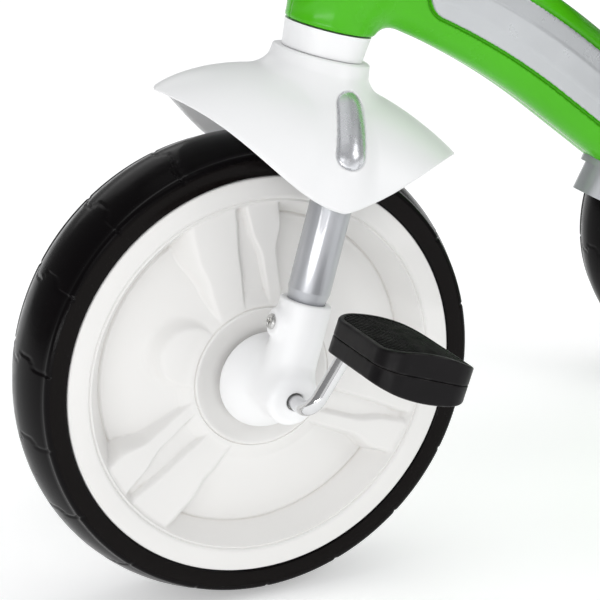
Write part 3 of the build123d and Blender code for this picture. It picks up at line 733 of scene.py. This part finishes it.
def fork_end_field(p):
    """Moulded fork end: nose on the axle, dome on the hub, socket for the leg, screw boss."""
    nose = bar(p, 1, 14.0, 30.0, 66.0, 4.5)
    dome = meet(ball(p, (0, 23.3, 0), 26.7), 28.5 - p[..., 1], 1.2)
    column = bar(p, 2, 13.6, -4.0, 50.0, 1.2, centre=(0, LEG_Y, 0))
    body = melt(melt(dome, nose, 9.0), column, 7.0)
    boss = bar(p, 0, 6.7, 4.0, 16.0, 0.9, centre=(0, LEG_Y, SCREW_S))
    body = melt(body, boss, 5.0)
    leg_socket = bar(p, 2, 9.9, 18.0, 80.0, 0.1, centre=(0, LEG_Y, 0))
    bush_seat = bar(p, 1, 8.05, 10.0, 64.0, 0.1)
    crank_hole = bar(p, 1, 4.7, 50.0, 90.0, 0.1)
    screw_hole = bar(p, 0, 1.95, 2.0, 30.0, 0.1, centre=(0, LEG_Y, SCREW_S))
    body = carve(carve(body, leg_socket, 0.5), bush_seat, 0.4)
    return carve(carve(body, crank_hole, 0.8), screw_hole, 0.2)


def screw_field(p):
    """Pan-head screw with a cross recess, facing forward."""
    head = bar(p, 0, 4.1, 13.5, 18.3, 1.7, centre=(0, LEG_Y, SCREW_S))
    head = meet(head, 16.02 - p[..., 0], 0.1)
    shank = bar(p, 0, 1.85, 8.0, 17.0, 0.2, centre=(0, LEG_Y, SCREW_S))
    centre = (18.4, LEG_Y, SCREW_S)
    wide = block(p, centre, (1.5, 2.3, 0.5), 0.2)
    tall = block(p, centre, (1.5, 0.5, 2.3), 0.2)
    return carve(melt(head, shank, 0.2), melt(wide, tall, 0.3), 0.25)


def fork_pieces(finish):
    """Fork ends and their screws."""
    end = surface_net(fork_end_field, (-30, 24, -30), (30, 70, 54), 0.75)
    screw = surface_net(screw_field, (7, 45, 31), (19.5, 57, 42), 0.28)
    other = mirrored(screw)
    both = (np.concatenate([screw[0], other[0]]),
            np.concatenate([screw[1], other[1] + len(screw[0])]))
    piece("fork_screw_pair", both, FORK, finish["steel"], "fork", ["fork_screws"])
    for name, shape in (("left", end), ("right", mirrored(end))):
        piece(f"fork_foot_{name}", shape, FORK, finish["shell_white"], "fork",
              [f"fork_end_{name}"])


# --- mudguard ---------------------------------------------------------------------------
GUARD_WALL = 2.5
HEM_LOW = 100.7        # lowest point of the mudguard's hem, at the legs
GUARD_TOP = 170.0
STEERER_HOLE_R = 13.2
INLAY_R = 8.3
INLAY_HALF = 14.7      # half the straight part of the inlay's oval
INLAY_LEAN = 0.13
HOOD_R = 15.5
HOOD_PATH = rounded_path([(0, LEG_Y, 60.0), (0, LEG_Y, 118.0), (0, 14.0, 153.9)], (26.0,))


def guard_arc(t, y, s):
    """Distance to the arched skin at a station, measured across it, and the hem's height."""
    front = t >= 0
    share = np.clip(np.abs(t) / np.where(front, 88.0, 92.0), 0, 0.9995)
    ridge = 160.0 - np.where(front, 24.5 * share ** 2.6, 30.0 * share ** 1.9)
    front_hem = 34.3 * smooth(share)
    rear_hem = 28.3 * share + 78.0 * share ** 2 * (1 - share)
    hem = HEM_LOW + np.where(front, front_hem, rear_hem)
    half = 66.0 * (1 - share ** 2.2) ** 0.75
    rise = np.maximum(ridge - hem, 1.2)
    radius = (rise ** 2 + half ** 2) / (2 * rise)
    return np.hypot(y, s - (ridge - radius)) - radius, hem


def guard_outer(p):
    """Outside of the mudguard as a solid that is open below."""
    t, y, s = p[..., 0], p[..., 1], p[..., 2]
    nudge = 0.5
    skin, _ = guard_arc(t, y, s)
    change = (guard_arc(t + nudge, y, s)[0] - guard_arc(t - nudge, y, s)[0]) / (2 * nudge)
    skin = skin / np.sqrt(1 + np.minimum(change ** 2, 400))
    hoods = near_path(both_sides(p), HOOD_PATH) - HOOD_R
    neck_r = np.interp(s, [140, 152, 157, 163, 170], [34.0, 31.5, 29.5, 27.0, 26.0])
    neck = np.maximum((np.hypot(t, y) - neck_r) * 0.94, 145 - s)
    solid = melt(melt(skin, hoods, 7.0), neck, 7.0)
    return meet(solid, s - GUARD_TOP, 1.2)


def oval_field(p):
    """Distance to the inlay's oval, seen square to the hood's side."""
    along = (p[..., 1] - 48.5) * 0.55 - (p[..., 2] - 140.5) * 0.835
    centre = INLAY_LEAN * along - 2.0
    return np.hypot(p[..., 0] - centre, np.maximum(np.abs(along) - INLAY_HALF, 0)) - INLAY_R


def guard_field(p):
    """Shell of the mudguard with its hem, steerer hole and inlay seats."""
    outer = guard_outer(p)
    shell = np.abs(outer + GUARD_WALL / 2) - GUARD_WALL / 2
    _, hem = guard_arc(p[..., 0], p[..., 1], p[..., 2])
    shell = meet(shell, (hem - p[..., 2]) * 0.9, 1.2)
    shell = carve(shell, np.hypot(p[..., 0], p[..., 1]) - STEERER_HOLE_R, 0.4)
    folded = both_sides(p)
    oval = np.maximum(oval_field(folded) - 0.45, 20.0 - folded[..., 1])
    seat = np.maximum(oval, -(outer + 0.9))
    return carve(shell, seat, 0.5)


def inlay_field(p):
    """Domed silver oval that sits in its seat on the hood."""
    outer = guard_outer(p)
    oval = oval_field(p)
    crown = 2.0 * (1 - np.clip(1 + oval / INLAY_R, 0, 1) ** 2)
    body = meet(outer - 0.2 - crown, oval, 0.9)
    body = np.maximum(body, 20.0 - p[..., 1])
    return np.maximum(body, -(outer + 0.85))


def mudguard(finish):
    """The white shell and its two silver inlays."""
    shell = surface_net(guard_field, (-96, -72, 96), (92, 72, 174), 0.9)
    piece("mudguard_shell", shell, FORK, finish["shell_white"], "fork", ["mudguard"])
    left = surface_net(inlay_field, (-16, 30, 112), (12, 72, 168), 0.7)
    silver = finish["inlay_silver"]
    piece("inlay_left", left, FORK, silver, "fork", ["mudguard_inlays"])
    piece("inlay_right", mirrored(left), FORK, silver, "fork")


# --- frame ------------------------------------------------------------------------------
BEAM_DEPTH = 56.5
BEAM_HALF = 21.0       # half the beam's width
BEAM_SAG = 3.25        # the section's middle lies this far below the beam's line
BEAM_EDGE = 15.0
SHELL_WALL = 3.0
HEAD_R = 23.7
HEAD_LOW, HEAD_HIGH = 184.3, 262.0
TAIL_R = 25.0
TAIL_HALF = 35.0
BEAM_LINE = [(139, 0, 348), (48, 0, 302.5), (-150, 0, 142), (-214, 0, 106)]
BEAM_PATH = rounded_path(BEAM_LINE, (450.0, 160.0), 14)
PANEL_LIFT = -1.0
PANEL_HALF = 15.6
PANEL_REAR, PANEL_FRONT = -114.0, 102.0
PANEL_CROWN = ([-15.6, -7.6, -6.6, 4.9, 5.9, 15.6], [1.3, 2.6, 3.1, 3.1, 2.6, 0.9])


def beam_place(p):
    """Height above the beam's line, and the share of its length, for each point."""
    flat = p[..., [0, 2]]
    path = BEAM_PATH[:, [0, 2]]
    runs = np.diff(path, axis=0)
    sizes = np.linalg.norm(runs, axis=1)
    starts = np.concatenate([[0], np.cumsum(sizes)])
    best = np.full(p.shape[:-1], 1e9)
    lift = np.zeros(p.shape[:-1])
    along = np.zeros(p.shape[:-1])
    for k, run in enumerate(runs):
        offset = flat - path[k]
        reach = (offset @ run) / sizes[k]
        first, last = k == 0, k == len(runs) - 1
        held = np.clip(reach, -1e9 if first else 0, 1e9 if last else sizes[k])
        off_line = offset - held[..., None] * run / sizes[k]
        away = np.hypot(off_line[..., 0], off_line[..., 1])
        side = offset[..., 1] * run[0] - offset[..., 0] * run[1]
        nearer = away < best
        best = np.where(nearer, away, best)
        lift = np.where(nearer, -np.sign(side) * away, lift)
        along = np.where(nearer, starts[k] + held, along)
    return lift, along


def beam_outer(p):
    """Outside of the head and beam as one solid with blended joins."""
    lift, along = beam_place(p)
    total = np.linalg.norm(np.diff(BEAM_PATH, axis=0), axis=1).sum()
    section = rounded(
        np.abs(p[..., 1]) - BEAM_HALF, np.abs(lift + BEAM_SAG) - BEAM_DEPTH / 2, BEAM_EDGE)
    beam = meet(section, along - total, 4.0)
    local = seen_from(FORK, p)
    beam = meet(beam, local[..., 0] - 14.0, 3.0)
    head = bar(local, 2, HEAD_R, HEAD_LOW, HEAD_HIGH, 2.2)
    clear = bar(local, 2, 40.0, 60.0, HEAD_LOW, 1.0)
    tail = bar(p, 1, TAIL_R, -TAIL_HALF, TAIL_HALF, 5.0, centre=(REAR[0], 0, REAR[2]))
    body = melt(head, carve(beam, clear, 2.0), 14.0)
    body = melt(body, tail, 10.0)
    return carve(body, clear, 1.0)


def panel_outline(p, grow):
    """Flat outline of the side panel on the beam, with rounded ends."""
    lift, _ = beam_place(p)
    middle = (PANEL_REAR + PANEL_FRONT) / 2
    return rounded(np.abs(lift - PANEL_LIFT) - PANEL_HALF - grow,
                   np.abs(p[..., 0] - middle) - (PANEL_FRONT - middle) - grow, 7.0)


def frame_field(p):
    """Left green shell with its panel seat and openings."""
    outer = beam_outer(p)
    shell = np.abs(outer + SHELL_WALL / 2) - SHELL_WALL / 2
    local = seen_from(FORK, p)
    radial = np.hypot(local[..., 0], local[..., 1])
    shell = carve(shell, radial - 17.2, 0.3)
    from_end = np.minimum(local[..., 2] - HEAD_LOW, HEAD_HIGH - local[..., 2])
    bush_seats = np.maximum(radial - 20.2, from_end - 2.0)
    shell = carve(shell, bush_seats, 0.3)
    sleeve = seen_from(KNOB, p)
    shell = carve(shell, np.hypot(sleeve[..., 0] - 34.0, sleeve[..., 1]) - 16.7, 0.8)
    axle_tube = np.hypot(p[..., 0] - REAR[0], p[..., 2] - REAR[2]) - 14.2
    shell = carve(shell, axle_tube, 0.6)
    beside_panel = np.abs(panel_outline(p, 0.3)) - 0.8
    groove = np.maximum(beside_panel, BEAM_HALF - 1.9 - np.abs(p[..., 1]))
    shell = carve(shell, groove, 0.3)
    return meet(shell, 0.06 - p[..., 1], 0.3)


def panel_field(p):
    """Silver panel with two lengthwise creases."""
    lift, _ = beam_place(p)
    crown = np.interp(lift - PANEL_LIFT, *PANEL_CROWN)
    face = (p[..., 1] - BEAM_HALF - crown) * 0.97
    body = meet(face, panel_outline(p, -0.6), 1.0)
    return np.maximum(body, BEAM_HALF + 0.1 - p[..., 1])


def frame_pieces(finish):
    """Both green shells and both silver panels."""
    low = (REAR[0] - 30, -1, REAR[2] - 32)
    shell = surface_net(frame_field, low, (178, 37, 392), 0.95)
    panel = surface_net(panel_field, (-118, 19, 110), (106, 27, 356), 0.9)
    sides = (("left", shell, panel), ("right", mirrored(shell), mirrored(panel)))
    for name, body, trim in sides:
        piece(f"green_shell_{name}", body, OBJECT, finish["frame_green"], "frame",
              [f"frame_shell_{name}"])
        piece(f"silver_panel_{name}", trim, OBJECT, finish["panel_silver"], "frame",
              [f"side_panel_{name}"])


# --- pedals -----------------------------------------------------------------------------
PEDAL_HALF = (27.0, 33.0)
PEDAL_CORNER = 13.0
PEDAL_TILT = 19.0      # degrees that the treads are tipped at rest
RIM_WIDTH = 2.4        # plain rim round the ribbed tread
RIB_PERIOD = 2.6
RIB_HEIGHT = 0.55


def pedal_field(p):
    """Whole pedal about its spindle: crowned treads with fine ribs inside a raised rim."""
    x, y, z = p[..., 0], p[..., 1], p[..., 2]
    outline = rounded(np.abs(x) - PEDAL_HALF[0], np.abs(y) - PEDAL_HALF[1], PEDAL_CORNER)
    crown = 12.4 - 3.9 * (x / PEDAL_HALF[0]) ** 2
    tread = np.clip((-outline - RIM_WIDTH) / 0.7, 0, 1)
    ribs = RIB_HEIGHT * np.sin((x + y) * 2 * math.pi / (RIB_PERIOD * math.sqrt(2)))
    face = crown - tread * (0.95 - ribs)
    body = meet(outline, (np.abs(z) - face) * 0.93, 0.9)
    seam = np.hypot(outline, z) - 0.35
    body = carve(body, seam, 0.3)
    nut_pocket = bar(p, 1, 8.5, 20.0, 29.5, 0.3)
    spindle_hole = bar(p, 1, 4.1, -60.0, 25.0, 0.1)
    return carve(carve(body, nut_pocket, 0.3), spindle_hole, 0.3)


def upper_pedal_field(p):
    """The half above the parting line."""
    return np.maximum(pedal_field(p), 0.05 - p[..., 2])


def lower_pedal_field(p):
    """The half below the parting line."""
    return np.maximum(pedal_field(p), 0.05 + p[..., 2])


def pedals(finish):
    """Two moulded halves on each spindle."""
    tilt = math.radians(PEDAL_TILT)
    axis = (-math.sin(tilt), 0.0, math.cos(tilt))
    step = 0.46
    halves = {
        "upper": surface_net(upper_pedal_field, (-29.0, -35.0, -0.5), (29.0, 35.0, 15.0), step),
        "lower": surface_net(lower_pedal_field, (-29.0, -35.0, -15.0), (29.0, 35.0, 0.5), step)}
    for side, flip in (("left", False), ("right", True)):
        place = tilted_place(np.array(joint_named(f"pedal_{side}_spin")["pos_m"]) / MM, axis)
        for name, mesh in halves.items():
            shape = mirrored(mesh) if flip else mesh
            piece(f"pedal_{name}_half_{side}", shape, place, finish["pedal_black"],
                  f"pedal_{side}", [f"pedal_{name}_{side}"])


# --- seat -------------------------------------------------------------------------------
def seat_field(p):
    """Moulded seat: dished pan with a rolled front and a wrap-round back, hollow beneath."""
    x, y, z = p[..., 0], p[..., 1], p[..., 2]
    plan = rounded(np.abs(x) - 95.0, np.abs(y) - 100.0, 70.0)
    dish = 15.5 - 4.5 * np.exp(-((x / 60) ** 2 + (y / 62) ** 2) ** 1.4)
    pan = meet(meet(plan, z - dish, 7.0), -z, 1.0)
    hollow = np.maximum(plan + 6.0, z - (dish - 6.5))
    keep = block(p, (22.0, 0.0, 4.0), (55.0, 48.0, 8.0), 3.0)
    pan = carve(pan, np.maximum(hollow, -keep), 1.0)
    ring = np.hypot(x - 5.0, y)
    flare = 94.0 + 0.012 * (z - 16.0)
    wall = np.abs(ring - flare) - 4.8
    share = np.clip((x + 96.0) / 74.0, 0, 1)
    crest = 104.5 - 50.0 * share ** 2.2
    wall = meet(wall, z - crest, 5.0)
    wall = meet(wall, x + 28.0, 8.0)
    wall = meet(wall, 6.0 - z, 2.0)
    slot_away = np.abs(np.abs(np.arctan2(y, 5.0 - x)) * 94.0 - 26.0)
    slot = rounded(slot_away - 5.0, np.abs(z - 66.0) - 18.0, 5.0)
    wall = carve(wall, np.where(x < 0, slot, 9.0), 2.0)
    return melt(pan, wall, 8.0)


def knob_field(p):
    """Five-lobed knob with a dished face and a short neck."""
    turn = np.arctan2(p[..., 1], p[..., 2])
    radial = np.hypot(p[..., 1], p[..., 2]) - (12.4 + 1.6 * np.cos(5 * turn))
    head = rounded(radial * 0.9, np.abs(p[..., 0]) - 6.5, 2.5)
    dish = ball(p, (-26.0, 0, 0), 22.0)
    neck = bar(p, 0, 4.0, 2.0, 20.0, 0.5)
    return melt(carve(head, dish, 1.0), neck, 0.8)


def seat_pieces(finish):
    """The seat and the knob that clamps its post."""
    mesh = surface_net(seat_field, (-98, -103, -2), (98, 103, 108), 1.5)
    piece("moulded_seat", mesh, SEAT, finish["seat_black"], "seat", ["seat_pan"])
    knob = surface_net(knob_field, (-8.5, -16, -16), (22, 16, 16), 0.7)
    piece("clamp_knob", knob, KNOB, finish["knob_black"], "seat_knob", ["seat_knob"])


# --- handlebar grips --------------------------------------------------------------------
def grips(finish):
    """Ribbed rubber grips with a round guard at each end."""
    end = np.array([-44.0, 198.0, 445.0])
    before = np.array([-8.0, 84.0, 439.0])
    inward = (before - end) / np.linalg.norm(before - end)
    cap = [(0.5, -4.0), (16.5, -4.0), (17.9, -3.2), (19.0, -1.0), (18.6, 1.5), (17.0, 4.0),
           (15.4, 9.0)]
    ribs = [(15.1 if k % 2 == 0 else 14.1, 14.0 + k * 1.6) for k in range(45)]
    guard = [(15.0, 87.0), (16.5, 90.5), (19.4, 92.6), (20.0, 94.0), (20.0, 97.0), (19.4, 98.0)]
    bore = [(11.1, 98.0), (11.1, 0.3), (0.5, 0.3)]
    verts, faces = ring_mesh(cap + ribs + guard + bore, 48)
    side = np.cross(inward, [0.0, 0.0, 1.0])
    side /= np.linalg.norm(side)
    turn = np.stack([side, inward, np.cross(side, inward)], axis=1)
    left = (verts @ turn.T + end, faces)
    for name, mesh in (("left", left), ("right", mirrored(left))):
        piece(f"rubber_grip_{name}", mesh, FORK, finish["grip_rubber"], "fork",
              [f"grip_{name}"], crease=40)


# --- carried-over nodes -----------------------------------------------------------------
def dress_nodes(finish):
    """Give every CAD node that still shows its finish."""
    slots = {row["node"]: row["material_slot"] for row in frame["record"]["subparts"]}
    for name, node in frame["nodes"].items():
        if node.hide_render:
            continue
        node.data.materials.clear()
        node.data.materials.append(finish[slots[name]])


# --- studio -----------------------------------------------------------------------------
def floor():
    """Plain pale floor."""
    size = 12.0
    data = bpy.data.meshes.new("floor")
    corners = [(-size, -size, 0), (size, -size, 0), (size, size, 0), (-size, size, 0)]
    data.from_pydata(corners, [], [(0, 1, 2, 3)])
    g = Graph("floor_pale")
    tone = g.noise(2.0, 3.0)
    g.link(g.mix(tone, (0.93, 0.93, 0.93), (0.96, 0.96, 0.96)), g.shader.inputs["Base Color"])
    g.shader.inputs["Roughness"].default_value = 0.9
    g.shader.inputs["Specular IOR Level"].default_value = 0.1
    g.shader.inputs["Emission Color"].default_value = (1, 1, 1, 1)
    g.shader.inputs["Emission Strength"].default_value = 0.36
    data.materials.append(g.material)
    made = bpy.data.objects.new("floor", data)
    bpy.context.scene.collection.objects.link(made)


def soft_box(name, spot, aim, size, power, roll=0.0):
    """A rectangular studio light aimed at a point and rolled about its own axis."""
    data = bpy.data.lights.new(name, "AREA")
    data.shape = "RECTANGLE"
    data.size, data.size_y = size
    data.energy = power
    made = bpy.data.objects.new(name, data)
    made.location = spot
    facing = (Vector(aim) - Vector(spot)).to_track_quat("-Z", "Y")
    made.rotation_euler = (facing @ Quaternion((0, 0, 1), math.radians(roll))).to_euler()
    bpy.context.scene.collection.objects.link(made)


def world():
    """Even pale surround: white to the camera, and dimmer in reflections than as light."""
    made = bpy.data.worlds.new("studio")
    bpy.context.scene.world = made
    made.use_nodes = True
    tree = made.node_tree
    ambient = tree.nodes["Background"]
    ambient.inputs["Color"].default_value = (0.98, 0.99, 1.0, 1)
    ambient.inputs["Strength"].default_value = 0.60
    path = tree.nodes.new("ShaderNodeLightPath")
    last = ambient
    for ray, strength in (("Is Glossy Ray", 0.3), ("Is Camera Ray", 1.0)):
        other = tree.nodes.new("ShaderNodeBackground")
        other.inputs["Color"].default_value = (1, 1, 1, 1)
        other.inputs["Strength"].default_value = strength
        mix = tree.nodes.new("ShaderNodeMixShader")
        tree.links.new(path.outputs[ray], mix.inputs["Fac"])
        tree.links.new(last.outputs[0], mix.inputs[1])
        tree.links.new(other.outputs[0], mix.inputs[2])
        last = mix
    tree.links.new(last.outputs[0], tree.nodes["World Output"].inputs["Surface"])


def lights():
    """Soft light from above, from both sides and from behind, and a strip for the tubes."""
    aim = (0.1, 0.0, 0.2)
    soft_box("key", (1.35, 1.75, 1.45), aim, (1.1, 0.6), 3.4)
    soft_box("rear_fill", (-1.7, 1.5, 1.55), aim, (1.3, 1.3), 12)
    soft_box("low_strip", (1.64, 1.42, 0.22), (0.18, 0.05, 0.2), (1.7, 0.06), 7.5, -11.0)
    soft_box("camera_fill", (0.9, 3.0, 1.0), aim, (2.4, 1.6), 6)
    soft_box("top", (0.0, 0.0, 2.4), aim, (2.0, 2.0), 5)
    soft_box("far", (0.3, -2.2, 1.5), aim, (1.6, 1.4), 6)


def camera():
    """Camera at the front left, a little above the wheel."""
    heading, height = math.radians(24.92), math.radians(18.77)
    distance, lens = 1.5, 169.2
    right_shift, up_shift = 0.0305, 0.0327
    level = math.cos(height)
    back = Vector((math.sin(heading) * level, math.cos(heading) * level, math.sin(height)))
    right = Vector((-math.cos(heading), math.sin(heading), 0))
    up = back.cross(right)
    data = bpy.data.cameras.new("camera")
    data.lens = lens
    data.sensor_width = 36.0
    data.clip_start, data.clip_end = 0.05, 40.0
    made = bpy.data.objects.new("camera", data)
    place = Matrix((right, up, back)).transposed().to_4x4()
    place.translation = Vector(FRONT * MM) + back * distance + right * right_shift + up * up_shift
    made.matrix_world = place
    bpy.context.scene.collection.objects.link(made)
    bpy.context.scene.camera = made


def main():
    """Build everything around the frame."""
    camera()
    world()
    lights()
    floor()
    bpy.context.scene.view_settings.view_transform = "Standard"
    finish = {slot: finish_material(**looks) for slot, looks in FINISHES.items()}
    front_wheel(finish)
    rear_wheels(finish)
    fork_pieces(finish)
    mudguard(finish)
    frame_pieces(finish)
    pedals(finish)
    seat_pieces(finish)
    grips(finish)
    dress_nodes(finish)


main()
